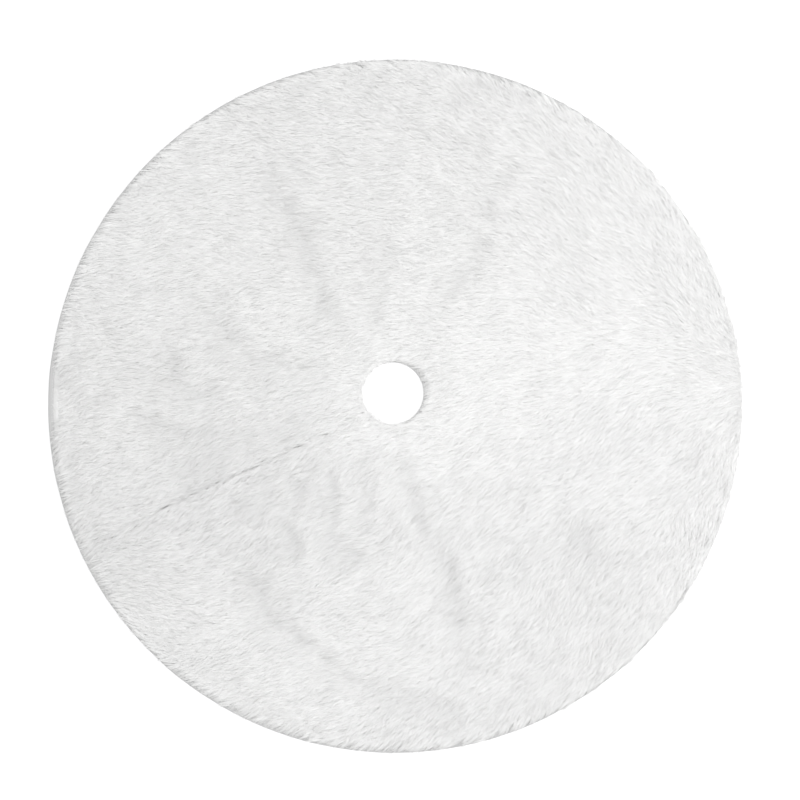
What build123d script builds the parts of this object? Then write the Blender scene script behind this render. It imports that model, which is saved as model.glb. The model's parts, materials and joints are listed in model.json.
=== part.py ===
from build123d import *
import os
from math import radians, tan

# A round faux-fur tree skirt, laid flat on the floor. Millimetres, +Z up, origin on the floor at
# the centre of the trunk hole. The slit runs from the hole to the rim along -Y. The fabric on the
# slit's +X side is the flap, which laps over the other side and folds back about a radial line.

# Driving dimensions
OUTER_RADIUS = 610.0          # 48 inch skirt
DISC_CENTRE = (22.0, -6.0)    # the hole is cut a little off the middle of the disc
HOLE_RADIUS = 54.0
THICKNESS = 15.0              # lining, backing and lying pile together
SLIT_X = 17.0                 # the slit is straight and parallel to Y
SLIT_GAP = 1.6
FOLD_BEARING = -10.0          # degrees from +X, the line that the flap folds back along
FOLD_GAP = 0.3

LINING_THICK = 1.2
BINDING_WIDTH = 10.0
BINDING_THICK = 4.6           # tape folded round the lining and the fur's backing
PILE_INSET = 3.0              # the pile stops this far inside a bound edge
PILE_SHOULDER = 15.0          # width over which the pile rounds down to the edge

UNDERLAP_REACH = 32.0         # how far the underlap passes beneath the flap
UNDERLAP_THICK = 2.0
UNDERLAP_START = 76.0         # distance of its ends from the hole's centre, along the slit
UNDERLAP_END = 590.0
POCKET_CLEARANCE = 2.5        # beside the underlap
POCKET_END_CLEARANCE = 6.0    # past its ends
PAD_WIDTH = 20.0
PAD_LENGTH = 50.0
PAD_THICK = 1.0
PAD_OFFSET = 17.0             # centre line of the pads, beyond the slit
PAD_GAP = 0.4                 # between the hooks and the loops
PAD_PLACES = {"inner": -118.0, "middle": -415.0, "outer": -552.0}

THREAD_WIDTH = 0.8
THREAD_DEPTH = 0.5
THREAD_INSET = 7.0            # from a bound edge to its row of stitches
PAD_THREAD_INSET = 2.0

# Worked-out levels and edges
FAR = 2 * OUTER_RADIUS
ROOT_EDGE = SLIT_X - SLIT_GAP / 2
FLAP_EDGE = SLIT_X + SLIT_GAP / 2
BAND_EDGE = ROOT_EDGE - BINDING_WIDTH
FLAP_BAND_EDGE = FLAP_EDGE + BINDING_WIDTH
UNDERLAP_EDGE = SLIT_X + UNDERLAP_REACH
POCKET_EDGE = UNDERLAP_EDGE + POCKET_CLEARANCE
HOOK_TOP = UNDERLAP_THICK + PAD_THICK
LOOP_BOTTOM = HOOK_TOP + PAD_GAP
POCKET_TOP = LOOP_BOTTOM + PAD_THICK
FLAP_BAND_TOP = POCKET_TOP + BINDING_THICK - UNDERLAP_THICK


def block(x0, x1, y0, y1, z0, z1):
    return Pos(x0, y0, z0) * Box(x1 - x0, y1 - y0, z1 - z0, align=Align.MIN)


def disc(centre, radius, z0, z1):
    upright = (Align.CENTER, Align.CENTER, Align.MIN)
    return Pos(*centre, z0) * Cylinder(radius, z1 - z0, align=upright)


def ring(centre, inner, outer, z0, z1):
    return disc(centre, outer, z0, z1) - disc(centre, inner, z0 - 1, z1 + 1)


def side_of_fold(edge_x, gap):
    """A tall prism over everything clockwise of the fold line and past edge_x."""
    slope = tan(radians(FOLD_BEARING))
    corners = [
        (edge_x, slope * edge_x - gap),
        (edge_x, -FAR),
        (FAR, -FAR),
        (FAR, slope * FAR - gap),
    ]
    return Pos(0, 0, -2) * extrude(Polygon(*corners, align=None), THICKNESS + 4)


FLAP_FIELD = side_of_fold(FLAP_EDGE, FOLD_GAP)
ROOT_FIELD = block(-FAR, FAR, -FAR, FAR, -2, THICKNESS + 2) - side_of_fold(ROOT_EDGE, 0.0)


def inside_bindings(z0, z1):
    """The plan of the skirt between the rim binding and the hole binding."""
    plate = disc(DISC_CENTRE, OUTER_RADIUS - BINDING_WIDTH, z0, z1)
    return plate - disc((0, 0), HOLE_RADIUS + BINDING_WIDTH, z0 - 1, z1 + 1)


def pile_envelope():
    """The whole skirt's outline, with shoulders rounded down to the rim and to the hole."""
    rim = OUTER_RADIUS - PILE_INSET
    outer_arc = RadiusArc((rim, BINDING_THICK), (rim - PILE_SHOULDER, THICKNESS), -PILE_SHOULDER)
    outer = make_face(
        Polyline((rim - PILE_SHOULDER, THICKNESS), (0, THICKNESS), (0, 0), (rim, 0), (rim, BINDING_THICK))
        + outer_arc
    )
    body = Pos(*DISC_CENTRE, 0) * revolve(Plane.XZ * outer, Axis.Z)
    hole = HOLE_RADIUS + PILE_INSET
    inner_arc = RadiusArc((hole, BINDING_THICK), (hole + PILE_SHOULDER, THICKNESS), PILE_SHOULDER)
    inner = make_face(
        Polyline(
            (hole + PILE_SHOULDER, THICKNESS),
            (hole + PILE_SHOULDER, THICKNESS + 2),
            (0, THICKNESS + 2),
            (0, -2),
            (hole, -2),
            (hole, BINDING_THICK),
        )
        + inner_arc
    )
    return body - revolve(Plane.XZ * inner, Axis.Z)


def bound_edges():
    """The tape round the rim and the tape round the trunk hole, whole."""
    rim = ring(DISC_CENTRE, OUTER_RADIUS - BINDING_WIDTH, OUTER_RADIUS, 0, BINDING_THICK)
    outer_edge = rim.edges().filter_by(GeomType.CIRCLE).group_by(SortBy.RADIUS)[-1]
    rim = fillet(outer_edge, BINDING_THICK / 3)
    hole = ring((0, 0), HOLE_RADIUS, HOLE_RADIUS + BINDING_WIDTH, 0, BINDING_THICK)
    return rim, hole


def edge_threads():
    """The rows of stitches on the underside of the rim tape and the hole tape, whole."""
    rim_row = OUTER_RADIUS - THREAD_INSET
    hole_row = HOLE_RADIUS + THREAD_INSET
    return (
        ring(DISC_CENTRE, rim_row - THREAD_WIDTH, rim_row, 0, THREAD_DEPTH),
        ring((0, 0), hole_row, hole_row + THREAD_WIDTH, 0, THREAD_DEPTH),
    )


def pad(place, z0, z1, inset=0.0):
    x = SLIT_X + PAD_OFFSET
    half_width = PAD_WIDTH / 2 - inset
    half_length = PAD_LENGTH / 2 - inset
    return block(x - half_width, x + half_width, place - half_length, place + half_length, z0, z1)


def pad_thread(place, z0, z1):
    """The box of stitches that holds one pad, set into its face."""
    outer = pad(place, z0, z1, PAD_THREAD_INSET)
    return outer - pad(place, z0 - 1, z1 + 1, PAD_THREAD_INSET + THREAD_WIDTH)


def underlap():
    return block(BAND_EDGE, UNDERLAP_EDGE, -UNDERLAP_END, -UNDERLAP_START, 0, UNDERLAP_THICK)


def underlap_thread():
    x = (BAND_EDGE + ROOT_EDGE) / 2
    y0, y1 = -UNDERLAP_END + 2, -UNDERLAP_START - 2
    return block(x, x + THREAD_WIDTH, y0, y1, 0, THREAD_DEPTH)


def flap_slit_thread():
    x = FLAP_EDGE + 2
    y0, y1 = -UNDERLAP_END + 2, -UNDERLAP_START - 2
    return block(x, x + THREAD_WIDTH, y0, y1, POCKET_TOP, POCKET_TOP + THREAD_DEPTH)


def slit_band(x0, x1, z0, z1):
    """A strip along the slit, from the hole tape to the rim tape."""
    return block(x0, x1, -FAR, 0, z0, z1) & inside_bindings(z0, z1)


def pocket():
    """The room under the flap for the underlap and the pads."""
    y0 = -UNDERLAP_END - POCKET_END_CLEARANCE
    y1 = -UNDERLAP_START + POCKET_END_CLEARANCE
    return block(FLAP_EDGE - 1, POCKET_EDGE, y0, y1, -1, POCKET_TOP)


def main_pieces():
    """The pieces that stay on the floor when the flap is folded back."""
    rim, hole = bound_edges()
    rim_thread, hole_thread = edge_threads()
    edges = rim + hole
    band = slit_band(BAND_EDGE, ROOT_EDGE, 0, BINDING_THICK)
    lining = (inside_bindings(0, LINING_THICK) & ROOT_FIELD) - band
    pile = pile_envelope() & ROOT_FIELD
    pile -= disc(DISC_CENTRE, OUTER_RADIUS, -1, LINING_THICK)
    pile -= ring(DISC_CENTRE, OUTER_RADIUS - BINDING_WIDTH, OUTER_RADIUS + 1, -1, BINDING_THICK)
    pile -= disc((0, 0), HOLE_RADIUS + BINDING_WIDTH, -1, BINDING_THICK)
    pile -= band
    return {
        "fur_panel": pile,
        "lining_panel": lining,
        "rim_binding": (rim - rim_thread) & ROOT_FIELD,
        "hole_binding": (hole - hole_thread) & ROOT_FIELD,
        "slit_binding": band - underlap(),
        "underlap": underlap() - underlap_thread(),
        "rim_stitching": rim_thread & ROOT_FIELD,
        "hole_stitching": hole_thread & ROOT_FIELD,
        "underlap_stitching": underlap_thread(),
    }


def flap_pieces():
    """The pieces that turn with the flap."""
    rim, hole = bound_edges()
    rim_thread, hole_thread = edge_threads()
    roof_top = POCKET_TOP + LINING_THICK
    roof = slit_band(FLAP_EDGE, POCKET_EDGE + LINING_THICK, 0, roof_top) & FLAP_FIELD
    band = slit_band(FLAP_EDGE, FLAP_BAND_EDGE, POCKET_TOP, FLAP_BAND_TOP)
    lining = (inside_bindings(0, LINING_THICK) & FLAP_FIELD) + roof - pocket() - band
    pile = pile_envelope() & FLAP_FIELD
    pile -= disc(DISC_CENTRE, OUTER_RADIUS, -1, LINING_THICK)
    pile -= ring(DISC_CENTRE, OUTER_RADIUS - BINDING_WIDTH, OUTER_RADIUS + 1, -1, BINDING_THICK)
    pile -= disc((0, 0), HOLE_RADIUS + BINDING_WIDTH, -1, BINDING_THICK)
    pile -= roof
    pile -= band
    return {
        "flap_fur_panel": pile,
        "flap_lining_panel": lining,
        "flap_rim_binding": (rim - rim_thread) & FLAP_FIELD,
        "flap_hole_binding": (hole - hole_thread) & FLAP_FIELD,
        "flap_slit_binding": band - flap_slit_thread(),
        "flap_rim_stitching": rim_thread & FLAP_FIELD,
        "flap_hole_stitching": hole_thread & FLAP_FIELD,
        "flap_slit_stitching": flap_slit_thread(),
    }


def closure_pieces():
    """Hook pads on top of the underlap, loop pads beneath the flap, and their stitches."""
    pieces = {}
    hook_rows, loop_rows = [], []
    for where, place in PAD_PLACES.items():
        hook_row = pad_thread(place, HOOK_TOP - THREAD_DEPTH, HOOK_TOP)
        loop_row = pad_thread(place, LOOP_BOTTOM, LOOP_BOTTOM + THREAD_DEPTH)
        pieces[f"hook_pad_{where}"] = pad(place, UNDERLAP_THICK, HOOK_TOP) - hook_row
        pieces[f"loop_pad_{where}"] = pad(place, LOOP_BOTTOM, POCKET_TOP) - loop_row
        hook_rows.append(hook_row)
        loop_rows.append(loop_row)
    pieces["hook_pad_stitching"] = Compound(children=hook_rows)
    pieces["loop_pad_stitching"] = Compound(children=loop_rows)
    return pieces


os.makedirs("parts", exist_ok=True)
for node, solid in (main_pieces() | flap_pieces() | closure_pieces()).items():
    export_step(solid, f"parts/{node}.step")
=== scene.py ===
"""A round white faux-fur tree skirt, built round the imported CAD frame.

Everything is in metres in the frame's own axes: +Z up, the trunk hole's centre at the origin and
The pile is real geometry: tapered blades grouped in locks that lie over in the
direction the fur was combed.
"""
import json
import math

import bpy
import numpy as np
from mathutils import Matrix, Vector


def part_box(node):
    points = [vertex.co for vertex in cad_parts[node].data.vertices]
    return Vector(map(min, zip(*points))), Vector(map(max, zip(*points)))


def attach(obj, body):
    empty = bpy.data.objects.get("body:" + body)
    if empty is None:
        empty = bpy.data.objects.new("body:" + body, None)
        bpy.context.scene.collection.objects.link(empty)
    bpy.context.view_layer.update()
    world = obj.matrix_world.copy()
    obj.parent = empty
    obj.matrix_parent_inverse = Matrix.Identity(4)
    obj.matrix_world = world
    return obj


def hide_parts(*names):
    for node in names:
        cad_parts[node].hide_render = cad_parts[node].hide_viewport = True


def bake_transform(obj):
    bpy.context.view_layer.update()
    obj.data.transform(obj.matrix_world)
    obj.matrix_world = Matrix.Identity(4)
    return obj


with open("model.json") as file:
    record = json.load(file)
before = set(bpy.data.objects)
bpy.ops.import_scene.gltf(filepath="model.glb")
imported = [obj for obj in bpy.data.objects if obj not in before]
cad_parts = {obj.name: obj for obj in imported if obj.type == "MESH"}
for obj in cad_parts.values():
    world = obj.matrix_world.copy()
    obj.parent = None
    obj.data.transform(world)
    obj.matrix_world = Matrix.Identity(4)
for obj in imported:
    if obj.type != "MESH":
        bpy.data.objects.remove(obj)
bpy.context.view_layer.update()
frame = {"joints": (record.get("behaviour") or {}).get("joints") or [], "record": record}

MM = 0.001


# ---------------------------------------------------------------- places read from the frame

def middle(node):
    """The middle of a node's box."""
    low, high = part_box(node)
    return (low + high) / 2


RIM_LOW, RIM_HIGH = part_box("rim_binding")
CENTRE = np.array(middle("rim_binding")[:2])
RADIUS = (RIM_HIGH.x - RIM_LOW.x) / 2
TAPE_TOP = RIM_HIGH.z
HOLE_RADIUS = next(m["dims"]["r_mm"] for m in frame["record"]["mounts"] if m["kind"] == "bore") * MM
TAPE_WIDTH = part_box("hole_binding")[1].x - HOLE_RADIUS
MAIN_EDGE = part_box("slit_binding")[1].x
FLAP_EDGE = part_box("flap_slit_binding")[0].x
FLAP_TAPE_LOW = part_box("flap_slit_binding")[0].z
FLAP_TAPE_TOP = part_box("flap_slit_binding")[1].z
UNDERLAP_LOW, UNDERLAP_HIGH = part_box("underlap")
FOLD = next(j for j in frame["joints"] if j["name"] == "flap_fold")
FOLD_BEARING = math.atan2(-FOLD["axis"][1], -FOLD["axis"][0])
FOLD_ALONG = np.array([math.cos(FOLD_BEARING), math.sin(FOLD_BEARING)])
FOLD_ACROSS = np.array([FOLD_ALONG[1], -FOLD_ALONG[0]])
BEND_WIDTH = 60 * MM

# ---------------------------------------------------------------- driving sizes of the soft work

NAP_BEARING = math.radians(65)  # the way the nap was combed across the disc
LOCK_SPACING = 4.2 * MM
BLADES_PER_LOCK = 7
BLADE_LENGTH = 28 * MM
BLADE_WIDTH = 0.92 * MM
PILE_HEIGHT = 8.5 * MM
UNDERCOAT = 5.6 * MM
BACKING_THICK = 0.4 * MM
GUARD_SHARE = 0.18  # of the blades are guard hairs: taller, narrower and paler
PILE_INSET = 1.2 * MM
SHORTEST = 0.5  # of its length, for a blade that the rim cuts short before it is turned aside
EDGE_ROUND = 14 * MM  # the pile rises from the rim and the hole over this distance
EXTRA_LOCKS = 0.15  # more locks, as a share, in the zone where the flap bends
LATTICE = 256  # random values along each side of a noise field

LINING_GAP = 0.5 * MM
BACKING_HEIGHT = 2.2 * MM
TAPE_LOW = 0.3 * MM  # the underside of the edge tape and of the underlap
STITCH_LOW = 0.5 * MM
STITCH_INSET = 7 * MM
PAD_TAPE_SHARE = 0.38  # of a pad's thickness; the rest is its hooks or loops

FILL_LEVEL, FILL_OVERHEAD = 0.30, 1.145
KEY_POWER = 39.0
KEY_TURN, KEY_REACH, KEY_HEIGHT = 6, 1.7, 2.9
VIEW_WIDTH = 1.408
CAMERA_HEIGHT = 4.0
SENSOR_WIDTH = 36.0
AIM = (16 * MM, 7 * MM)

# A blade's stations from root to tip, as shares: how far along, how high, how broad.
BLADE_PROFILE = [(0.0, 0.0, 0.8), (0.24, 0.66, 1.0), (0.62, 1.0, 0.85), (1.0, 0.86, 0.0)]

# A stretch of the rim where the edge tape shows as a darker band, partly painted shade by the tape's grey, in
# nap places: left of, about, half as wide as.
BARE_RIM = (-0.9, 0.03, 0.07)

# Every blade lies in one shared map: across it by tone, and up it from root to tip. The export bakes
# to the map of this name if a mesh has one.
BLADE_MAP = "OFBake"
BLADE_LANE = 0.03


# ---------------------------------------------------------------- numbers

def smooth(x, low, high):
    """0 below low, 1 above high, and an even curve between."""
    t = np.clip((x - low) / (high - low), 0, 1)
    return t * t * (3 - 2 * t)


def noise(x, y, cell, seed):
    """Value noise from -1 to 1 that changes over about one cell."""
    lattice = np.random.default_rng(seed).uniform(-1, 1, (LATTICE, LATTICE))
    i, j = np.floor(x / cell).astype(int), np.floor(y / cell).astype(int)
    a, b = smooth(x / cell - i, 0, 1), smooth(y / cell - j, 0, 1)
    i, j = i % LATTICE, j % LATTICE
    k, m = (i + 1) % LATTICE, (j + 1) % LATTICE
    near = lattice[i, j] * (1 - a) + lattice[k, j] * a
    far = lattice[i, m] * (1 - a) + lattice[k, m] * a
    return near * (1 - b) + far * b


def nap_place(x, y):
    """Place on the disc in shares of its radius: along the nap, and to the left of it."""
    dx, dy = (x - CENTRE[0]) / RADIUS, (y - CENTRE[1]) / RADIUS
    c, s = math.cos(NAP_BEARING), math.sin(NAP_BEARING)
    return dx * c + dy * s, dy * c - dx * s


def to_rim(bearing, radius):
    """Distance from the hole's centre to a circle round the disc's centre, along a bearing."""
    along = CENTRE[0] * np.cos(bearing) + CENTRE[1] * np.sin(bearing)
    return along + np.sqrt(along**2 - CENTRE @ CENTRE + radius**2)


# ---------------------------------------------------------------- how the fabric lies

# Creases left by folding, as (depth, points in nap places). Most fan out from the trunk hole.
CREASES = [
    (1.0, [(-0.14, 0.16), (-0.22, 0.29), (-0.27, 0.43), (-0.35, 0.62), (-0.39, 0.74)]),
    (0.7, [(-0.08, 0.20), (-0.06, 0.42), (-0.03, 0.50)]),
    (0.8, [(0.09, 0.36), (0.17, 0.46), (0.25, 0.58), (0.31, 0.72)]),
    (1.0, [(0.08, 0.26), (0.20, 0.39), (0.29, 0.49)]),
    (0.7, [(0.09, 0.51), (0.16, 0.62)]),
    (0.9, [(-0.13, 0.09), (-0.38, 0.11), (-0.50, 0.15), (-0.58, 0.29)]),
    (0.8, [(-0.49, 0.02), (-0.62, 0.06), (-0.68, 0.20)]),
    (1.0, [(-0.45, -0.10), (-0.68, -0.08), (-0.80, -0.02)]),
    (1.1, [(-0.16, -0.03), (-0.27, -0.05), (-0.46, -0.13), (-0.71, -0.26)]),
    (1.3, [(-0.38, -0.18), (-0.38, -0.28), (-0.45, -0.36)]),
    (1.2, [(-0.48, -0.40), (-0.38, -0.59), (-0.25, -0.73), (-0.04, -0.85), (0.19, -0.91)]),
    (1.1, [(-0.27, -0.18), (-0.32, -0.33), (-0.30, -0.47)]),
    (1.1, [(-0.17, -0.11), (-0.21, -0.27), (-0.17, -0.41), (-0.10, -0.49)]),
    (1.0, [(-0.09, -0.10), (-0.11, -0.27), (-0.08, -0.40)]),
    (1.0, [(-0.01, -0.10), (0.02, -0.24), (0.10, -0.41), (0.16, -0.62), (0.22, -0.82)]),
    (0.6, [(0.30, -0.52), (0.43, -0.44), (0.59, -0.41)]),
]
STEEP_SIDE, GENTLE_SIDE = 0.030, 0.06
STEEP_TOWARDS = (0.94, 0.34)
WANDER = 0.02


def creased(x, y):
    """How deep in a crease each point is, from 0 to about 1. A crease is steeper on one side."""
    u, v = nap_place(x, y)
    u = u + WANDER * noise(x, y, 0.045, 6)
    v = v + WANDER * noise(x, y, 0.045, 7)
    depth = np.zeros_like(u)
    for strength, points in CREASES:
        runs = [math.dist(a, b) for a, b in zip(points, points[1:])]
        nearest, reach, share = np.full_like(u, np.inf), np.ones_like(u), np.zeros_like(u)
        for number, ((u0, v0), (u1, v1)) in enumerate(zip(points, points[1:])):
            du, dv = u1 - u0, v1 - v0
            t = np.clip(((u - u0) * du + (v - v0) * dv) / (du * du + dv * dv), 0, 1)
            off_u, off_v = u - u0 - t * du, v - v0 - t * dv
            apart = np.hypot(off_u, off_v)
            closer = apart < nearest
            side = (off_u * STEEP_TOWARDS[0] + off_v * STEEP_TOWARDS[1]) / np.maximum(apart, 1e-6)
            width = GENTLE_SIDE + (STEEP_SIDE - GENTLE_SIDE) * smooth(side, -0.5, 0.5)
            reach = np.where(closer, width, reach)
            share = np.where(closer, (sum(runs[:number]) + t * runs[number]) / sum(runs), share)
            nearest = np.where(closer, apart, nearest)
        fade = (0.15 + 0.85 * smooth(share, 0, 0.25)) * (1 - smooth(share, 0.8, 1.05))
        depth = np.maximum(depth, strength * fade * np.exp(-((nearest / reach) ** 2) / 2))
    return depth


# Broad patches of painted light and shade: the fur's colour is made lighter or darker where nap laid over
# differently catches more or less light, as (nap place, size, change of tone).
PAINTED_LIGHT_PATCHES = [
    (0.53, -0.42, 0.07, -0.16),
    (0.30, -0.52, 0.06, -0.14),
    (-0.81, -0.43, 0.06, -0.20),
    (-0.10, 0.75, 0.30, -0.17),
    (-0.75, 0.05, 0.30, -0.08),
    (-0.60, -0.35, 0.22, -0.12),
    (-0.62, -0.62, 0.10, 0.10),
    (-0.32, -0.82, 0.14, 0.12),
    (-0.80, 0.45, 0.13, 0.10),
    (0.22, -0.02, 0.25, 0.12),
    (0.05, -0.70, 0.25, 0.12),
    (0.50, 0.55, 0.25, 0.08),
    (0.00, 0.00, 0.16, 0.15),
    (0.94, 0.13, 0.12, -0.22),
]


def painted_patch_light(x, y):
    """How much painted light or shade the fur's colour gets over a broad patch."""
    u, v = nap_place(x, y)
    tone = np.zeros_like(u)
    for u0, v0, size, change in PAINTED_LIGHT_PATCHES:
        tone = tone + change * np.exp(-((u - u0) ** 2 + (v - v0) ** 2) / (2 * size**2))
    return tone


def lap_height(x, y, on_flap):
    """How far the closure lifts the fabric beside the slit."""
    if on_flap:
        lift, reach = UNDERLAP_HIGH.z + 2.2 * MM, UNDERLAP_HIGH.x + 2 * MM
        beside = 1 - smooth(x, reach, reach + 26 * MM)
    else:
        lift, reach = UNDERLAP_HIGH.z, UNDERLAP_LOW.x
        beside = smooth(x, reach - 14 * MM, reach)
    along = smooth(-y, -UNDERLAP_HIGH.y - 12 * MM, -UNDERLAP_HIGH.y)
    along = along * (1 - smooth(-y, -UNDERLAP_LOW.y, -UNDERLAP_LOW.y + 12 * MM))
    return lift * beside * along * (y < 0)


def edge_distances(x, y):
    """Distances in from the rim and out from the trunk hole."""
    return RADIUS - np.hypot(x - CENTRE[0], y - CENTRE[1]), np.hypot(x, y) - HOLE_RADIUS


def fabric_height(x, y, on_flap):
    """Height of the fur's backing over the floor."""
    rim, hole = edge_distances(x, y)
    free = smooth(rim, 5 * MM, 70 * MM) * smooth(hole, 5 * MM, 50 * MM)
    waves = 1.6 * noise(x, y, 0.17, 3) + 0.8 * noise(x, y, 0.07, 4)
    rise = free * (4.0 + waves - 4.6 * creased(x, y)) * MM
    lap = lap_height(x, y, on_flap)
    return BACKING_HEIGHT + np.maximum(rise, -0.6 * MM) * (1 - 0.6 * smooth(lap, 0, 2 * MM)) + lap


def loft(x, y, on_flap):
    """How full the pile stands, as a share of its height: clumped, and pressed flat in creases."""
    return (1 + 0.18 * noise(x, y, 0.018, 22)) * (1 - 0.5 * creased(x, y))


def undercoat_height(x, y, on_flap):
    """Height of the top of the dense short hair that the long pile lies on."""
    rim, hole = edge_distances(x, y)
    rounded = smooth(rim, 8 * MM, 15 * MM) * smooth(hole, 4 * MM, EDGE_ROUND)
    thick = UNDERCOAT * rounded * loft(x, y, on_flap) * (1 - 0.35 * creased(x, y))
    return fabric_height(x, y, on_flap) + BACKING_THICK + thick


def lining_height(x, y, on_flap):
    """Height of the lining, which lies on the floor in shallow wrinkles."""
    wrinkle = 0.5 + 0.5 * noise(0.4 * x + y, x - 0.4 * y, 0.035, 5)
    rim, hole = edge_distances(x, y)
    free = smooth(rim, 5 * MM, 40 * MM) * smooth(hole, 5 * MM, 30 * MM)
    lap = lap_height(x, y, on_flap)
    return LINING_GAP + 0.9 * MM * wrinkle * free * (1 - smooth(lap, 0, 2 * MM)) + lap


def from_grid(height, on_flap, step=3 * MM):
    """The same height, worked out once on a fine grid and read between its points."""
    start = CENTRE - RADIUS - 2 * step
    count = int(2 * RADIUS / step) + 6
    ticks = np.arange(count) * step
    grid = height(*np.meshgrid(start[0] + ticks, start[1] + ticks, indexing="ij"), on_flap)

    def at(x, y):
        across, up = (x - start[0]) / step, (y - start[1]) / step
        i = np.clip(np.floor(across).astype(int), 0, count - 2)
        j = np.clip(np.floor(up).astype(int), 0, count - 2)
        a, b = across - i, up - j
        near = grid[i, j] * (1 - a) + grid[i + 1, j] * a
        far = grid[i, j + 1] * (1 - a) + grid[i + 1, j + 1] * a
        return near * (1 - b) + far * b

    return at


# ---------------------------------------------------------------- meshes

def mesh_object(name, points, faces, material):
    """A smooth-shaded mesh object of one material."""
    mesh = bpy.data.meshes.new(name)
    mesh.from_pydata([tuple(p) for p in points], [], [tuple(f) for f in faces])
    mesh.materials.append(material)
    mesh.polygons.foreach_set("use_smooth", np.ones(len(mesh.polygons), bool))
    mesh.update()
    made = bpy.data.objects.new(name, mesh)
    bpy.context.scene.collection.objects.link(made)
    return made


def grid_faces(rows, columns):
    """The quads of a grid of rows x columns points, row by row."""
    corner = (np.arange(rows - 1)[:, None] * columns + np.arange(columns - 1)).ravel()
    return np.stack([corner, corner + columns, corner + columns + 1, corner + 1], 1)


def place(piece, on_flap, slot, *nodes):
    """Puts a finished piece on the skirt's body; a piece that belongs to the flap has its placing built into
    its mesh and goes on no body. Hides the frame's nodes that it takes the place of.
    """
    if on_flap:
        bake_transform(piece)
    else:
        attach(piece, "skirt")
    if nodes:
        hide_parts(*nodes)
    return piece


# ---------------------------------------------------------------- materials

def principled(name, colour, roughness, **sockets):
    """A new material of one colour, for nodes to be added to."""
    material = bpy.data.materials.new(name)
    material.use_nodes = True
    shader = material.node_tree.nodes["Principled BSDF"]
    shader.inputs["Base Color"].default_value = (*colour, 1)
    shader.inputs["Roughness"].default_value = roughness
    for socket, value in sockets.items():
        shader.inputs[socket.replace("_", " ")].default_value = value
    return material


def product(material, one, other):
    """The output of a new node that multiplies two outputs."""
    node = material.node_tree.nodes.new("ShaderNodeMath")
    node.operation = "MULTIPLY"
    material.node_tree.links.new(one, node.inputs[0])
    material.node_tree.links.new(other, node.inputs[1])
    return node.outputs["Value"]


def woven(name, colour, roughness, thread, relief, mottle=0.03, slant=0.0):
    """Cloth: two sets of crossing threads for its relief, and a soft mottle in its colour."""
    material = principled(name, colour, roughness, Sheen_Weight=0.25, Sheen_Roughness=0.5)
    nodes, links = material.node_tree.nodes, material.node_tree.links
    shader = nodes["Principled BSDF"]
    where = nodes.new("ShaderNodeTexCoord").outputs["Object"]
    turned = nodes.new("ShaderNodeMapping")
    turned.inputs["Rotation"].default_value = (0, 0, slant)
    links.new(where, turned.inputs["Vector"])
    ribs = []
    for direction in ("X", "Y"):
        wave = nodes.new("ShaderNodeTexWave")
        wave.bands_direction = direction
        wave.inputs["Scale"].default_value = 0.314 / thread
        wave.inputs["Distortion"].default_value = 0.6
        wave.inputs["Detail"].default_value = 1.0
        links.new(turned.outputs["Vector"], wave.inputs["Vector"])
        ribs.append(wave.outputs["Fac"])
    cross = product(material, *ribs)
    bump = nodes.new("ShaderNodeBump")
    bump.inputs["Strength"].default_value = 0.6
    bump.inputs["Distance"].default_value = relief
    links.new(cross, bump.inputs["Height"])
    links.new(bump.outputs["Normal"], shader.inputs["Normal"])
    patch = nodes.new("ShaderNodeTexNoise")
    patch.inputs["Scale"].default_value = 45.0
    patch.inputs["Detail"].default_value = 4.0
    links.new(where, patch.inputs["Vector"])
    shade = nodes.new("ShaderNodeMapRange")
    shade.inputs["To Min"].default_value = 1 - 2 * mottle
    shade.inputs["To Max"].default_value = 1.0
    links.new(patch.outputs["Fac"], shade.inputs["Value"])
    tint = nodes.new("ShaderNodeVectorMath")
    tint.operation = "SCALE"
    tint.inputs[0].default_value = colour
    links.new(shade.outputs["Result"], tint.inputs["Scale"])
    links.new(tint.outputs["Vector"], shader.inputs["Base Color"])
    rough = nodes.new("ShaderNodeMapRange")
    rough.inputs["To Min"].default_value = roughness - 0.08
    rough.inputs["To Max"].default_value = min(roughness + 0.08, 1.0)
    links.new(cross, rough.inputs["Value"])
    links.new(rough.outputs["Result"], shader.inputs["Roughness"])
    return material


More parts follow.
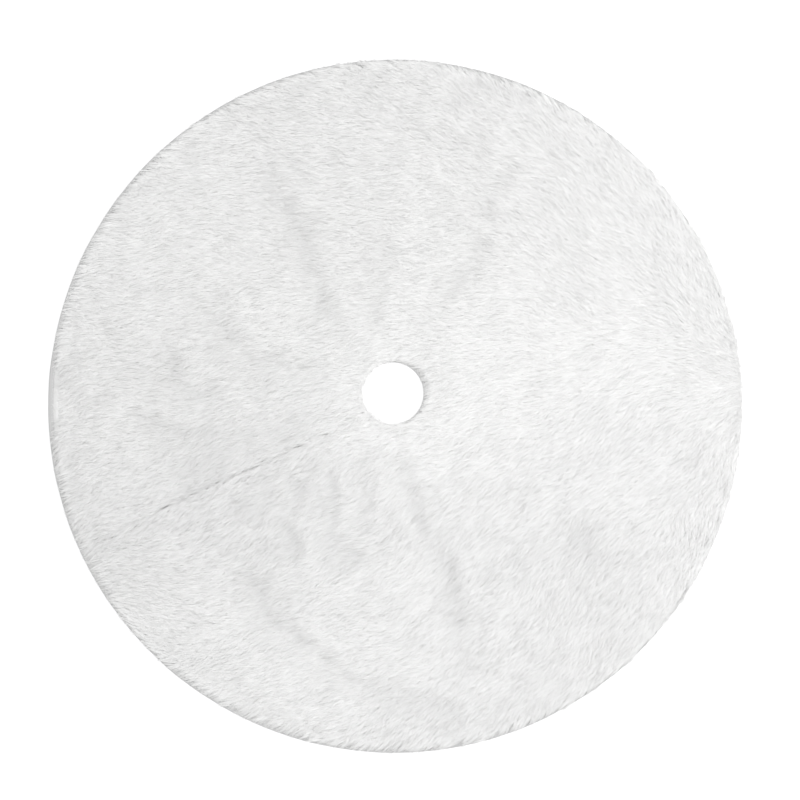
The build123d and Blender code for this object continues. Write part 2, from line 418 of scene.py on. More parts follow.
def fibre(name, dark, bright, roughness):
    """Pile fibre, by each blade's place in BLADE_MAP: its tone, a shaded root and fine streaks."""
    material = principled(name, (bright, bright, bright), roughness, Sheen_Weight=0.3, Sheen_Roughness=0.5)
    nodes, links = material.node_tree.nodes, material.node_tree.links
    shader = nodes["Principled BSDF"]
    where = nodes.new("ShaderNodeUVMap")
    where.uv_map = BLADE_MAP
    axes = nodes.new("ShaderNodeSeparateXYZ")
    links.new(where.outputs["UV"], axes.inputs["Vector"])
    tone = nodes.new("ShaderNodeMapRange")
    tone.inputs["To Min"].default_value = dark
    tone.inputs["To Max"].default_value = bright
    links.new(axes.outputs["X"], tone.inputs["Value"])
    root = nodes.new("ShaderNodeMapRange")
    root.interpolation_type = "SMOOTHSTEP"
    root.inputs["From Max"].default_value = 0.55
    root.inputs["To Min"].default_value = 0.95
    root.inputs["To Max"].default_value = 1.0
    links.new(axes.outputs["Y"], root.inputs["Value"])
    stretch = nodes.new("ShaderNodeMapping")
    stretch.inputs["Scale"].default_value = (220.0, 3.0, 1.0)
    links.new(where.outputs["UV"], stretch.inputs["Vector"])
    streak = nodes.new("ShaderNodeTexNoise")
    streak.inputs["Scale"].default_value = 1.0
    streak.inputs["Detail"].default_value = 2.0
    links.new(stretch.outputs["Vector"], streak.inputs["Vector"])
    fine = nodes.new("ShaderNodeMapRange")
    fine.inputs["To Min"].default_value = 0.97
    fine.inputs["To Max"].default_value = 1.03
    links.new(streak.outputs["Fac"], fine.inputs["Value"])
    shaded = product(material, tone.outputs["Result"], root.outputs["Result"])
    streaked = product(material, shaded, fine.outputs["Result"])
    tint = nodes.new("ShaderNodeVectorMath")
    tint.operation = "SCALE"
    tint.inputs[0].default_value = (1.0, 1.0, 0.996)
    links.new(streaked, tint.inputs["Scale"])
    links.new(tint.outputs["Vector"], shader.inputs["Base Color"])
    rough = nodes.new("ShaderNodeMapRange")
    rough.inputs["To Min"].default_value = roughness - 0.1
    rough.inputs["To Max"].default_value = roughness + 0.1
    links.new(streak.outputs["Fac"], rough.inputs["Value"])
    links.new(rough.outputs["Result"], shader.inputs["Roughness"])
    return material


def matted(name, colour, roughness):
    """The undercoat: short matted hair, as fine clumps in its relief and colour."""
    material = woven(name, colour, roughness, 2.2 * MM, 0.5 * MM, mottle=0.02)
    nodes = material.node_tree.nodes
    for wave in [n for n in nodes if n.bl_idname == "ShaderNodeTexWave"]:
        wave.inputs["Distortion"].default_value = 9.0
        wave.inputs["Detail"].default_value = 4.0
        wave.inputs["Detail Scale"].default_value = 2.5
    return material


PILE = fibre("pile_fibre", 0.80, 0.975, 0.8)
UNDERHAIR = matted("undercoat_hair", (0.90, 0.90, 0.895), 0.9)
BACKING = woven("backing_knit", (0.92, 0.92, 0.915), 0.9, 1.2 * MM, 0.3 * MM)
LINING = woven("lining_weave", (0.80, 0.80, 0.795), 0.6, 0.7 * MM, 0.12 * MM)
# Light grey binding tape: its grey is partly the tape's own colour and partly painted shade, for the dark
# line along the rim's edge.
TAPE = woven("tape_weave", (0.60, 0.60, 0.60), 0.7, 0.6 * MM, 0.15 * MM, slant=math.pi / 4)
THREAD = woven("thread_twist", (0.88, 0.88, 0.87), 0.6, 0.5 * MM, 0.1 * MM, slant=0.6)
HOOK = woven("hook_nylon", (0.76, 0.76, 0.76), 0.4, 0.8 * MM, 0.1 * MM)
LOOP = woven("loop_nylon", (0.78, 0.78, 0.78), 0.8, 0.8 * MM, 0.1 * MM)


# ---------------------------------------------------------------- sheets of cloth

def panel_grid(on_flap, margin, step):
    """Points of a panel as rows from the hole to the rim, each from the slit to the fold.

    The slit runs straight beside the hole's centre, so its bearing at each reach is found in a few
    rounds.
    """
    inner = HOLE_RADIUS + margin
    rows = int((RADIUS - inner) / step)
    turn = 1.40 if on_flap else 4.89  # radians round the hole
    columns = int(turn * RADIUS / step / 1.4)
    share = np.linspace(0, 1, columns)[None, :]
    out = np.linspace(0, 1, rows)[:, None]
    edge = FLAP_EDGE + margin if on_flap else MAIN_EDGE - margin
    first_guess = np.full_like(share, FOLD_BEARING + 0.5)
    reach = inner + out * (to_rim(first_guess, RADIUS - margin) - inner)
    for _ in range(4):
        slit = -math.pi / 2 + np.arcsin(edge / reach)
        slit = slit if on_flap else slit + 2 * math.pi
        bearing = slit + share * (FOLD_BEARING - slit)
        reach = inner + out * (to_rim(bearing, RADIUS - margin) - inner)
    return reach * np.cos(bearing), reach * np.sin(bearing), rows, columns


def sheet_panel(name, on_flap, height, material, margin=5 * MM, step=9 * MM):
    """One sheet of cloth of a panel, lying at the given height."""
    x, y, rows, columns = panel_grid(on_flap, margin, step)
    x, y = x.ravel(), y.ravel()
    points = np.stack([x, y, height(x, y, on_flap)], 1)
    return mesh_object(name, points, grid_faces(rows, columns), material)


# ---------------------------------------------------------------- edge tape

def arc_path(centre, radius, start, stop, step):
    """Points along an arc and the direction out of the cloth at each."""
    count = max(2, int(abs(stop - start) * radius / step))
    angle = np.linspace(start, stop, count)
    outward = np.stack([np.cos(angle), np.sin(angle)], 1)
    return np.asarray(centre) + radius * outward, outward


def tape(name, path, outward, low, high, wobble_seed):
    """A strip folded round an edge: in along the top, round the edge and back underneath."""
    inward = np.array([10.0, 6.5, 3.0, 1.0, 0.25, 0.0, 0.25, 1.0, 3.0, 6.5, 10.0]) * MM
    level = np.array([0.88, 0.97, 1.0, 0.93, 0.76, 0.5, 0.24, 0.07, 0.0, 0.0, 0.0])
    along = np.arange(len(path)) * np.linalg.norm(path[1] - path[0])
    wobble = 0.5 * MM * (1 + noise(along, along * 0 + 0.3, 0.045, wobble_seed))
    inward = inward[None, :] * (TAPE_WIDTH / (10 * MM)) + wobble[:, None] * (inward < 9 * MM)[None, :]
    swell = 1 + 0.06 * noise(along, along * 0 + 0.7, 0.02, wobble_seed + 1)
    height = low + (high - low) * level[None, :] * np.minimum(swell, 1.0)[:, None]
    flat = path[:, None, :] - inward[..., None] * outward[:, None, :]
    from_hole = np.linalg.norm(flat, axis=2, keepdims=True)
    flat = flat * np.maximum(HOLE_RADIUS / from_hole, 1)
    from_centre = np.linalg.norm(flat - CENTRE, axis=2, keepdims=True)
    flat = CENTRE + (flat - CENTRE) * np.minimum(RADIUS / from_centre, 1)
    points = np.concatenate([flat, height[..., None]], 2).reshape(-1, 3)
    return mesh_object(name, points, grid_faces(len(path), len(level)), TAPE)


# ---------------------------------------------------------------- stitches

def stitches(name, rows, length=4.2 * MM, gap=1.6 * MM, thick=0.45 * MM):
    """Rows of short thread stitches. Each row is (path, height, side): side -1 is an underside."""
    points, faces = [], []
    ring = np.linspace(0, 2 * math.pi, 6, endpoint=False)
    for path, height, side in rows:
        steps = np.linalg.norm(np.diff(path, axis=0), axis=1)
        run = np.concatenate([[0], np.cumsum(steps)])
        starts = np.arange(0.3 * length, run[-1] - length, length + gap)
        for start in starts:
            base = len(points)
            for k in range(5):
                t = start + length * k / 4
                x, y = np.interp(t, run, path[:, 0]), np.interp(t, run, path[:, 1])
                ahead = np.array([
                    np.interp(t + MM, run, path[:, 0]) - np.interp(t - MM, run, path[:, 0]),
                    np.interp(t + MM, run, path[:, 1]) - np.interp(t - MM, run, path[:, 1]),
                ])
                ahead = ahead / max(np.linalg.norm(ahead), 1e-9)
                bulge = math.sin(math.pi * k / 4)
                girth = thick / 2 * (0.55 + 0.45 * bulge)
                lift = height + side * thick * (bulge - 0.35) * 0.8
                for a in ring:
                    across = girth * math.cos(a)
                    points.append((x - ahead[1] * across, y + ahead[0] * across, lift + girth * math.sin(a)))
            for k in range(4):
                for a in range(6):
                    b = (a + 1) % 6
                    low = base + 6 * k
                    faces.append((low + a, low + b, low + 6 + b, low + 6 + a))
            faces.append(tuple(base + a for a in reversed(range(6))))
            faces.append(tuple(base + 24 + a for a in range(6)))
    return mesh_object(name, points, faces, THREAD)


# ---------------------------------------------------------------- pile

def comb_bearing(x, y):
    """The bearing that the pile lies towards: combed to a point past the rim, with a swirl."""
    u, v = nap_place(x, y)
    towards = np.arctan2(0.075 - v, 1.06 - u)
    towards = towards + 0.28 * (1 - smooth(u, 0.1, 0.7))
    brushed = [(-0.15, -0.85, 0.26, -0.65), (-0.75, -0.6, 0.14, -0.75), (0.62, 0.02, 0.14, 0.3)]
    for u0, v0, size, turn in brushed:
        towards = towards + turn * np.exp(-((u - u0) ** 2 + (v - v0) ** 2) / (2 * size**2))
    towards = towards + 0.24 * noise(x, y, 0.09, 11) + 0.20 * noise(x, y, 0.035, 12)
    return towards + NAP_BEARING


def kept_inside(dx, dy, out_x, out_y, room):
    """Turns a lying direction until it leaves the cloth by no more than the room there is."""
    outward = dx * out_x + dy * out_y
    allowed = np.clip(room, -1, 1)
    over = outward > allowed
    along = -dx * out_y + dy * out_x
    side = np.where(along >= 0, 1.0, -1.0) * np.sqrt(1 - allowed**2)
    new_x, new_y = allowed * out_x - side * out_y, allowed * out_y + side * out_x
    return np.where(over, new_x, dx), np.where(over, new_y, dy)


def gaping(y):
    """How open the slit lies at each place along it: only over its middle, and only here and there."""
    middle_part = smooth(-y, 170 * MM, 200 * MM) * (1 - smooth(-y, 350 * MM, 385 * MM))
    return middle_part * smooth(noise(y * 0 + 0.5, y, 0.028, 14), -0.6, 0.0)


def lock_places(on_flap, seed):
    """Jittered places of the locks on one panel."""
    rng = np.random.default_rng(seed)
    count = int(2 * RADIUS / LOCK_SPACING) + 2
    i, j = np.meshgrid(np.arange(count), np.arange(count))
    x = CENTRE[0] - RADIUS + (i.ravel() + rng.uniform(-0.5, 0.5, i.size)) * LOCK_SPACING
    y = CENTRE[1] - RADIUS + (j.ravel() + rng.uniform(-0.5, 0.5, i.size)) * LOCK_SPACING
    if on_flap:
        extra = rng.uniform(0, 1, (int(EXTRA_LOCKS * RADIUS * BEND_WIDTH / LOCK_SPACING**2), 2))
        along, across = extra[:, 0] * 1.05 * RADIUS, extra[:, 1] * BEND_WIDTH
        x = np.concatenate([x, along * FOLD_ALONG[0] + across * FOLD_ACROSS[0]])
        y = np.concatenate([y, along * FOLD_ALONG[1] + across * FOLD_ACROSS[1]])
    rim, hole = edge_distances(x, y)
    past_fold = x * FOLD_ACROSS[0] + y * FOLD_ACROSS[1]
    beyond = (past_fold > 0) & (x > (FLAP_EDGE + MAIN_EDGE) / 2)
    u, v = nap_place(x, y)
    bare = np.exp(-((v - BARE_RIM[1]) ** 2) / (2 * BARE_RIM[2] ** 2)) * (u < BARE_RIM[0])
    inset = PILE_INSET * (1 + 0.4 * noise(x, y, 0.05, 13) + 7.0 * bare)
    keep = (rim > inset) & (hole > 0.7 * PILE_INSET)
    if on_flap:
        keep &= beyond & (x > FLAP_EDGE + 1.2 * MM)
    else:
        keep &= ~beyond & ((x < MAIN_EDGE - 1.2 * MM) | (y > 0) | (past_fold < 0))
    return x[keep], y[keep], rng


def lock_shape(x, y, rng, on_flap):
    """Direction, length, height and tone of each lock.

    A lock is turned aside before it would leave the cloth by the rim or the hole, and is shortened to
    fit. Beside the slit it lies along it, and leans over it where the slit is closed.
    """
    bearing = comb_bearing(x, y) + rng.normal(0, 0.16, x.size)
    length = BLADE_LENGTH * (1 + 0.12 * noise(x, y, 0.02, 21) + rng.normal(0, 0.10, x.size))
    height = PILE_HEIGHT * (1 + rng.normal(0, 0.05, x.size))
    dx, dy = np.cos(bearing), np.sin(bearing)
    rim, hole = edge_distances(x, y)
    from_centre = RADIUS - rim
    out_x, out_y = (x - CENTRE[0]) / from_centre, (y - CENTRE[1]) / from_centre
    room = np.maximum(rim - 1.0 * MM, 0.2 * MM)
    dx, dy = kept_inside(dx, dy, out_x, out_y, room / (SHORTEST * length))
    length = np.minimum(length, room / np.maximum(dx * out_x + dy * out_y, 0.01))
    span = hole + HOLE_RADIUS
    dx, dy = kept_inside(dx, dy, -x / span, -y / span, hole / (SHORTEST * length))
    length = np.minimum(length, hole / np.maximum(-(dx * x + dy * y) / span, 0.01))
    beside = (y < 0) & (np.abs(x - MAIN_EDGE) < 2 * BLADE_LENGTH)
    over = (4.4 - 3.9 * gaping(y)) * MM  # how far the pile may reach over the slit
    hug = beside * (1 - smooth(np.abs(x - MAIN_EDGE), 3 * MM, 11 * MM)) * (1 - gaping(y))
    lean = -0.22 if on_flap else 0.22
    dx, dy = dx + hug * (lean - dx), dy + hug * (1 - dy)
    stretch = np.hypot(dx, dy)
    dx, dy = dx / stretch, dy / stretch
    if on_flap:
        room = np.where(beside, (x - FLAP_EDGE + over) / length, 1)
        dx, dy = kept_inside(dx, dy, -1.0, 0.0, room)
    else:
        room = np.where(beside & (x < FLAP_EDGE), (MAIN_EDGE + over - x) / length, 1)
        dx, dy = kept_inside(dx, dy, 1.0, 0.0, room)
    # Broad patches of painted light and shade are added to the random tone here.
    tone = 0.62 + 0.13 * noise(x, y, 0.012, 23) + 0.09 * noise(x, y, 0.03, 24) + painted_patch_light(x, y)
    # Painted shade: blades lying over a crease are made darker in colour, besides the crease's real dip.
    tone = tone - 0.44 * creased(x + 0.5 * length * dx, y + 0.5 * length * dy)
    # Painted shade: blades whose tips come near the rim are made darker, for the shade where the edge curves
    # down. Blades rooted within a few mm of the rim are made a little lighter.
    rim_ahead, _ = edge_distances(x + 0.85 * length * dx, y + 0.85 * length * dy)
    tone = tone + 0.10 * (1 - smooth(rim, 2 * MM, 9 * MM))
    tone = tone - 0.30 * (1 - smooth(rim_ahead, 2 * MM, 12 * MM))
    tone = tone + rng.normal(0, 0.115, x.size)
    return dx, dy, length, height, tone


def blades(x, y, dx, dy, length, height, tone, rng, cloth, fullness):
    """Vertices and map places of all blades: 7 points, 2 quads and a tip triangle each."""
    n = BLADES_PER_LOCK
    x0, y0, dx, dy, length, height, tone = (np.repeat(a, n) for a in (x, y, dx, dy, length, height, tone))
    count = x0.size
    turn = rng.normal(0, 0.17, count)
    bx, by = dx * np.cos(turn) - dy * np.sin(turn), dx * np.sin(turn) + dy * np.cos(turn)
    spread = rng.normal(0, 0.42 * LOCK_SPACING, (count, 2))
    length = length * rng.uniform(0.78, 1.12, count)
    height = height * rng.uniform(0.86, 1.08, count)
    guard = rng.uniform(0, 1, count) < GUARD_SHARE
    height = height * np.where(guard, 1.14, 1.0)
    tip_x = x0 + dx * length + 0.45 * spread[:, 0]
    tip_y = y0 + dy * length + 0.45 * spread[:, 1]
    root_x, root_y = x0 + spread[:, 0], y0 + spread[:, 1]
    curl = rng.normal(0, 1.6 * MM, count)
    width = BLADE_WIDTH * rng.uniform(0.7, 1.25, count) * np.where(guard, 0.75, 1.0)
    roll = rng.normal(0, 0.2, count)
    lane = np.clip(tone + rng.normal(0, 0.10, count) + np.where(guard, 0.28, 0.0), BLADE_LANE, 1 - BLADE_LANE)
    points = np.empty((count, 7, 3), np.float32)
    where = np.empty((count, 7, 2), np.float32)
    for k, (along, rise, broad) in enumerate(BLADE_PROFILE):
        side = curl * math.sin(math.pi * along)
        cx = root_x + (tip_x - root_x) * along - by * side
        cy = root_y + (tip_y - root_y) * along + bx * side
        rim, hole = edge_distances(cx, cy)
        rounded = 0.6 + 0.4 * smooth(np.minimum(rim, 2 * hole), 0, EDGE_ROUND)
        over_tape = TAPE_TOP * (1 - smooth(np.minimum(rim, hole), 8 * MM, 12 * MM))
        root_z = np.maximum(cloth(cx, cy) + BACKING_THICK, over_tape)
        cz = root_z + height * rise * rounded * fullness(cx, cy)
        if broad == 0:
            points[:, 6] = np.stack([cx, cy, cz + rng.normal(0, 0.5 * MM, count)], 1)
            where[:, 6] = np.stack([lane, np.full(count, along)], 1)
            continue
        wx, wy = -by * np.cos(roll), bx * np.cos(roll)
        half = np.stack([wx, wy, np.sin(roll)], 1) * (width * broad / 2)[:, None]
        for corner, sign in ((2 * k, -1), (2 * k + 1, 1)):
            points[:, corner] = np.stack([cx, cy, cz], 1) + sign * half
            where[:, corner] = np.stack([lane + sign * BLADE_LANE / 2, np.full(count, along)], 1)
    points[:, :, 2] = np.maximum(points[:, :, 2], 1.5 * MM)
    return points, where


def blade_object(name, points, where):
    """One mesh of many blades, made from arrays."""
    count = len(points)
    corner = np.array([0, 2, 3, 1, 2, 4, 5, 3, 4, 6, 5])
    loops = (np.arange(count)[:, None] * 7 + corner).ravel()
    sizes = np.tile([4, 4, 3], count)
    mesh = bpy.data.meshes.new(name)
    mesh.vertices.add(count * 7)
    mesh.vertices.foreach_set("co", points.ravel())
    mesh.loops.add(len(loops))
    mesh.loops.foreach_set("vertex_index", loops.astype(np.int32))
    mesh.polygons.add(len(sizes))
    mesh.polygons.foreach_set("loop_start", (np.cumsum(sizes) - sizes).astype(np.int32))
    mesh.polygons.foreach_set("use_smooth", np.ones(len(sizes), bool))
    mesh.materials.append(PILE)
    mesh.update(calc_edges=True)
    layer = mesh.uv_layers.new(name=BLADE_MAP)
    layer.data.foreach_set("uv", where.reshape(-1, 2)[loops].ravel())
    made = bpy.data.objects.new(name, mesh)
    bpy.context.scene.collection.objects.link(made)
    return made


def pile_pieces(on_flap, parts, seed):
    """The pile of one panel, in sectors small enough to handle."""
    x, y, rng = lock_places(on_flap, seed)
    bearing = np.mod(np.arctan2(y, x) - FOLD_BEARING, 2 * math.pi)
    order = np.argsort(bearing, kind="stable")
    surface = from_grid(fabric_height, on_flap), from_grid(loft, on_flap)
    made = []
    for number, chosen in enumerate(np.array_split(order, parts), 1):
        px, py = x[chosen], y[chosen]
        shape = lock_shape(px, py, rng, on_flap)
        name = f"{'flap_pile' if on_flap else 'pile'}_{number}"
        made.append(place(blade_object(name, *blades(px, py, *shape, rng, *surface)), on_flap, "pile"))
    return made


# ---------------------------------------------------------------- the two panels

def panels(on_flap, parts, seed):
    """Backing with its pile, and lining, of one panel."""
    start = "flap_" if on_flap else ""
    step = 3.5 * MM if on_flap else 9 * MM  # fine on the flap
    backing = sheet_panel(f"{start}fur_backing", on_flap, fabric_height, BACKING, step=step)
    place(backing, on_flap, "pile", f"{start}fur_panel")
    undercoat = sheet_panel(f"{start}undercoat", on_flap, undercoat_height, UNDERHAIR, step=4 * MM)
    place(undercoat, on_flap, "pile")
    pile = pile_pieces(on_flap, parts, seed)
    lining = sheet_panel(f"{start}lining_cloth", on_flap, lining_height, LINING, step=step)
    place(lining, on_flap, "lining", f"{start}lining_panel")


def tapes(on_flap):
    """The tapes round one panel's share of the rim and of the hole, with their stitches."""
    start = "flap_" if on_flap else ""
    edge = FLAP_EDGE if on_flap else MAIN_EDGE
    slit = -math.pi / 2 + math.asin((edge - CENTRE[0]) / RADIUS)
    fold_point = to_rim(FOLD_BEARING, RADIUS) * FOLD_ALONG - CENTRE
    fold = math.atan2(fold_point[1], fold_point[0])
    begin, end = (slit, fold) if on_flap else (fold, slit + 2 * math.pi)
    path, outward = arc_path(CENTRE, RADIUS, begin, end, 4 * MM)
    rim = tape(f"{start}rim_tape", path, outward, TAPE_LOW, TAPE_TOP, 31)
    place(rim, on_flap, "binding", f"{start}rim_binding")
    row, _ = arc_path(CENTRE, RADIUS - STITCH_INSET, begin, end, 4 * MM)
    thread = stitches(f"{start}rim_stitches", [(row, STITCH_LOW, -1), (row, TAPE_TOP, 1)])
    place(thread, on_flap, "thread", f"{start}rim_stitching")

    slit = -math.pi / 2 + math.asin(edge / HOLE_RADIUS)
    begin, end = (slit, FOLD_BEARING) if on_flap else (FOLD_BEARING, slit + 2 * math.pi)
    path, outward = arc_path((0, 0), HOLE_RADIUS, begin, end, 2 * MM)
    hole = tape(f"{start}hole_tape", path, -outward, TAPE_LOW, TAPE_TOP, 33)
    place(hole, on_flap, "binding", f"{start}hole_binding")
    row, _ = arc_path((0, 0), HOLE_RADIUS + STITCH_INSET, begin, end, 2 * MM)
    thread = stitches(f"{start}hole_stitches", [(row, STITCH_LOW, -1), (row, TAPE_TOP, 1)])
    place(thread, on_flap, "thread", f"{start}hole_stitching")


def slit_tapes():
    """The tape on each side of the slit, and the stitches under it."""
    low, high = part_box("slit_binding")
    for on_flap in (False, True):
        start = "flap_" if on_flap else ""
        edge = FLAP_EDGE if on_flap else MAIN_EDGE
        count = int((high.y - low.y) / (4 * MM))
        y = np.linspace(high.y, low.y, count)
        path = np.stack([np.full(count, edge), y], 1)
        outward = np.tile([-1.0 if on_flap else 1.0, 0.0], (count, 1))
        base, top = (FLAP_TAPE_LOW, FLAP_TAPE_TOP) if on_flap else (UNDERLAP_HIGH.z, TAPE_TOP)
        strip = tape(f"{start}slit_tape", path, outward, base, top, 35)
        place(strip, on_flap, "binding", f"{start}slit_binding")
        inside = 2.4 * MM if on_flap else -5 * MM
        row = np.stack([np.full(count, edge + inside), y], 1)
        level = FLAP_TAPE_LOW - 0.1 * MM if on_flap else STITCH_LOW
        name = "flap_slit_stitches" if on_flap else "underlap_stitches"
        node = "flap_slit_stitching" if on_flap else "underlap_stitching"
        thread = stitches(name, [(row, level, -1)])
        place(thread, on_flap, "thread", node)


# ---------------------------------------------------------------- underlap and closure

def slab(name, low, high, material, corner, step, dome=0.0):
    """A thin closed slab with rounded corners and edges, slightly crowned."""
    width, length, thick = high.x - low.x, high.y - low.y, high.z - low.z
    columns, rows = max(8, int(width / step)), max(8, int(length / step))
    s, t = np.meshgrid(np.linspace(-1, 1, columns), np.linspace(-1, 1, rows))
    x, y = s * width / 2, t * length / 2
    over_x, over_y = np.abs(x) - (width / 2 - corner), np.abs(y) - (length / 2 - corner)
    both = (over_x > 0) & (over_y > 0)
    far = np.hypot(np.maximum(over_x, 0), np.maximum(over_y, 0))
    shrink = np.where(both & (far > corner), corner / np.maximum(far, 1e-9), 1)
    x = np.where(both, np.sign(x) * (width / 2 - corner + over_x * shrink), x)
    y = np.where(both, np.sign(y) * (length / 2 - corner + over_y * shrink), y)
    inside = np.minimum(width / 2 - np.abs(x), length / 2 - np.abs(y))
    inside = np.where(both, np.minimum(inside, corner - np.minimum(far, corner)), inside)
    round_off = np.sqrt(np.clip(1 - (1 - np.clip(inside / (thick / 2), 0, 1)) ** 2, 0, 1))
    half = thick / 2 * (0.12 + 0.88 * round_off)
    puff = dome * thick * noise(x, y, 0.03, 41)
    cx, cy, cz = (low.x + high.x) / 2, (low.y + high.y) / 2, (low.z + high.z) / 2
    top = np.stack([cx + x, cy + y, cz + half + np.minimum(puff, 0)], 2).reshape(-1, 3)
    bottom = np.stack([cx + x, cy + y, cz - half], 2).reshape(-1, 3)
    quads = grid_faces(rows, columns)
    under = quads[:, ::-1] + len(top)
    edge = np.concatenate([
        np.arange(columns - 1),
        np.arange(rows - 1) * columns + columns - 1,
        (rows - 1) * columns + np.arange(columns - 1, 0, -1),
        np.arange(rows - 1, 0, -1) * columns,
    ])
    after = np.roll(edge, -1)
    wall = np.stack([edge, after, after + len(top), edge + len(top)], 1)
    faces = np.concatenate([quads[:, ::-1], under[:, ::-1], wall])
    return mesh_object(name, np.concatenate([top, bottom]), faces, material)


def bristles(name, low, high, down, spacing, looped, seed, material):
    """The hooks of a hook pad, which stand up, or the loops of a loop pad, which hang down."""
    rng = np.random.default_rng(seed)
    x, y = np.meshgrid(np.arange(low.x + 1.2 * MM, high.x - 1 * MM, spacing),
                       np.arange(low.y + 1.2 * MM, high.y - 1 * MM, spacing))
    x, y = x.ravel(), y.ravel()
    x = x + rng.uniform(-0.2, 0.2, x.size) * spacing * (2.4 if looped else 0.5)
    y = y + rng.uniform(-0.2, 0.2, x.size) * spacing * (2.4 if looped else 0.5)
    tall = (high.z - low.z) * (1 - PAD_TAPE_SHARE)
    tape_thick = PAD_TAPE_SHARE * (high.z - low.z)
    base = high.z - tape_thick if down else low.z + tape_thick
    sign = -1 if down else 1
    turn = rng.uniform(0, 2 * math.pi, x.size) if looped else np.repeat(0.0, x.size)
    arch = [(-0.45, 0.0), (-0.40, 0.55), (-0.1, 0.95), (0.25, 0.90), (0.42, 0.55)]
    arch = arch + ([(0.45, 0.0)] if looped else [])
    thick = 0.14 * MM
    points, faces = [], []
    for px, py, angle in zip(x, y, turn):
        first = len(points)
        ca, sa = math.cos(angle), math.sin(angle)
        for along, rise in arch:
            a = along * spacing * 0.9
            for side in (-thick, thick):
                points.append((px + a * ca - side * sa, py + a * sa + side * ca, base + sign * rise * tall))
        for k in range(len(arch) - 1):
            low_k = first + 2 * k
            faces.append((low_k, low_k + 1, low_k + 3, low_k + 2))
    return mesh_object(name, points, faces, material)


def closure():
    """The underlap, the three pairs of hook and loop pads, and the pads' stitches."""
    low, high = UNDERLAP_LOW.copy(), UNDERLAP_HIGH
    low.z += TAPE_LOW
    band = slab("underlap_band", low, high, LINING, 3 * MM, 4 * MM, dome=0.25)
    place(band, False, "lining", "underlap")
    rows = {"hook": [], "loop": []}
    for where in ("inner", "middle", "outer"):
        for kind, down, material in (("hook", False, HOOK), ("loop", True, LOOP)):
            node = f"{kind}_pad_{where}"
            low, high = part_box(node)
            split = PAD_TAPE_SHARE * (high.z - low.z)
            base_low, base_high = low.copy(), high.copy()
            if down:
                base_low.z = high.z - split
            else:
                base_high.z = low.z + split
            piece = slab(f"{node}_tape", base_low, base_high, material, 1.5 * MM, 1.2 * MM)
            place(piece, down, f"{kind}_tape", node)
            spacing = 1.1 * MM if down else 1.3 * MM
            nap = bristles(f"{node}_nap", low, high, down, spacing, down, 50 + len(rows[kind]), material)
            place(nap, down, f"{kind}_tape")
            level = base_low.z if down else base_high.z
            inset = 2.4 * MM
            x0, x1, y0, y1 = low.x + inset, high.x - inset, low.y + inset, high.y - inset
            box = np.array([(x0, y0), (x1, y0), (x1, y1), (x0, y1), (x0, y0)])
            rows[kind].append((box, level, -1 if down else 1))
    for kind in rows:
        down = kind == "loop"
        thread = stitches(f"{kind}_pad_stitches", rows[kind], 2.6 * MM, 0.8 * MM, 0.4 * MM)
        place(thread, down, "thread", f"{kind}_pad_stitching")


# ---------------------------------------------------------------- floor, light and camera

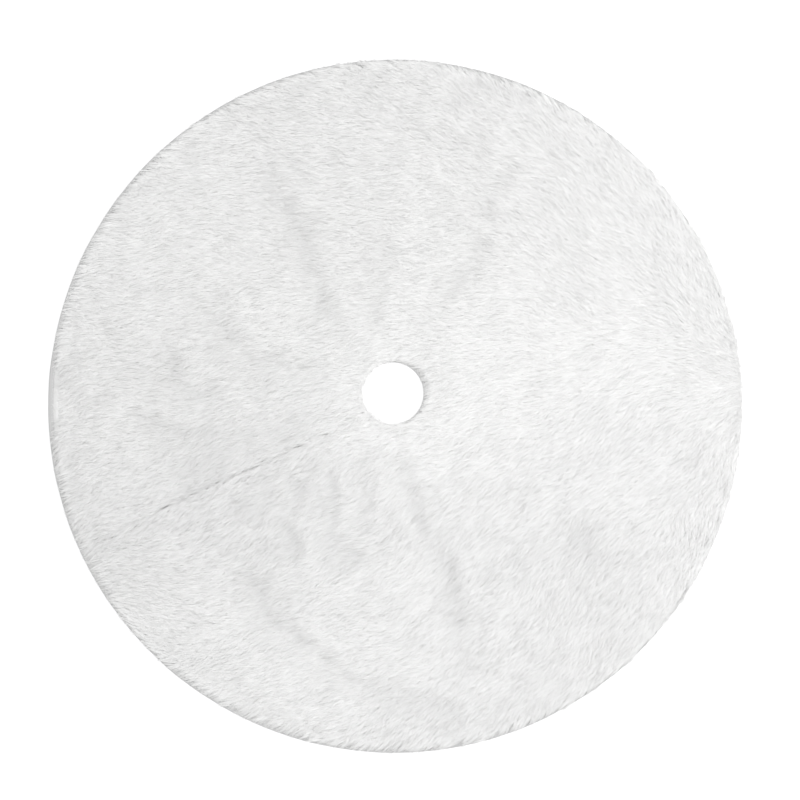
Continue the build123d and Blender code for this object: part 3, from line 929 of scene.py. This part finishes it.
def studio():
    """A plain white floor, a soft fill from all round that is stronger overhead, and one soft key light."""
    bpy.ops.mesh.primitive_plane_add(size=40)
    floor = bpy.context.object
    floor.name = "floor"
    white = principled("floor_white", (0.6, 0.6, 0.6), 0.9)
    shader = white.node_tree.nodes["Principled BSDF"]
    shader.inputs["Emission Color"].default_value = (1, 1, 1, 1)
    shader.inputs["Specular IOR Level"].default_value = 0.0
    seen = white.node_tree.nodes.new("ShaderNodeLightPath")
    glow = white.node_tree.nodes.new("ShaderNodeMath")
    glow.operation = "MULTIPLY"
    glow.inputs[1].default_value = 0.55
    white.node_tree.links.new(seen.outputs["Is Camera Ray"], glow.inputs[0])
    white.node_tree.links.new(glow.outputs["Value"], shader.inputs["Emission Strength"])
    floor.data.materials.append(white)

    world = bpy.data.worlds.new("studio")
    bpy.context.scene.world = world
    world.use_nodes = True
    nodes, links = world.node_tree.nodes, world.node_tree.links
    fill = nodes["Background"]
    fill.inputs["Color"].default_value = (1, 1, 1, 1)
    where = nodes.new("ShaderNodeTexCoord")
    axes = nodes.new("ShaderNodeSeparateXYZ")
    overhead = nodes.new("ShaderNodeMapRange")
    overhead.inputs["To Min"].default_value = FILL_LEVEL
    overhead.inputs["To Max"].default_value = FILL_OVERHEAD
    links.new(where.outputs["Generated"], axes.inputs["Vector"])
    links.new(axes.outputs["Z"], overhead.inputs["Value"])
    links.new(overhead.outputs["Result"], fill.inputs["Strength"])
    plain = nodes.new("ShaderNodeBackground")
    plain.inputs["Color"].default_value = (1, 1, 1, 1)
    plain.inputs["Strength"].default_value = 1.0
    seen = nodes.new("ShaderNodeLightPath")
    mix = nodes.new("ShaderNodeMixShader")
    links.new(seen.outputs["Is Camera Ray"], mix.inputs["Fac"])
    links.new(fill.outputs["Background"], mix.inputs[1])
    links.new(plain.outputs["Background"], mix.inputs[2])
    links.new(mix.outputs["Shader"], nodes["World Output"].inputs["Surface"])

    key = bpy.data.lights.new("key", "AREA")
    key.shape = "RECTANGLE"
    key.size, key.size_y = 1.2, 1.2
    key.energy = KEY_POWER
    lamp = bpy.data.objects.new("key", key)
    lamp.visible_camera = False
    bearing = NAP_BEARING + math.radians(KEY_TURN)
    lamp.location = (KEY_REACH * math.cos(bearing), KEY_REACH * math.sin(bearing), KEY_HEIGHT)
    aim = -lamp.location.normalized()
    lamp.rotation_euler = aim.to_track_quat("-Z", "Y").to_euler()
    bpy.context.scene.collection.objects.link(lamp)
    bpy.context.scene.view_settings.view_transform = "Standard"


def camera():
    """Looks straight down, with the nap lying to the right of the view."""
    data = bpy.data.cameras.new("camera")
    data.sensor_width = SENSOR_WIDTH
    data.lens = SENSOR_WIDTH * CAMERA_HEIGHT / VIEW_WIDTH
    made = bpy.data.objects.new("camera", data)
    made.location = (*AIM, CAMERA_HEIGHT)
    made.rotation_euler = (0, 0, NAP_BEARING)
    bpy.context.scene.collection.objects.link(made)
    bpy.context.scene.camera = made


camera()
panels(on_flap=False, parts=10, seed=101)
panels(on_flap=True, parts=3, seed=202)
tapes(on_flap=False)
tapes(on_flap=True)
slit_tapes()
closure()
studio()
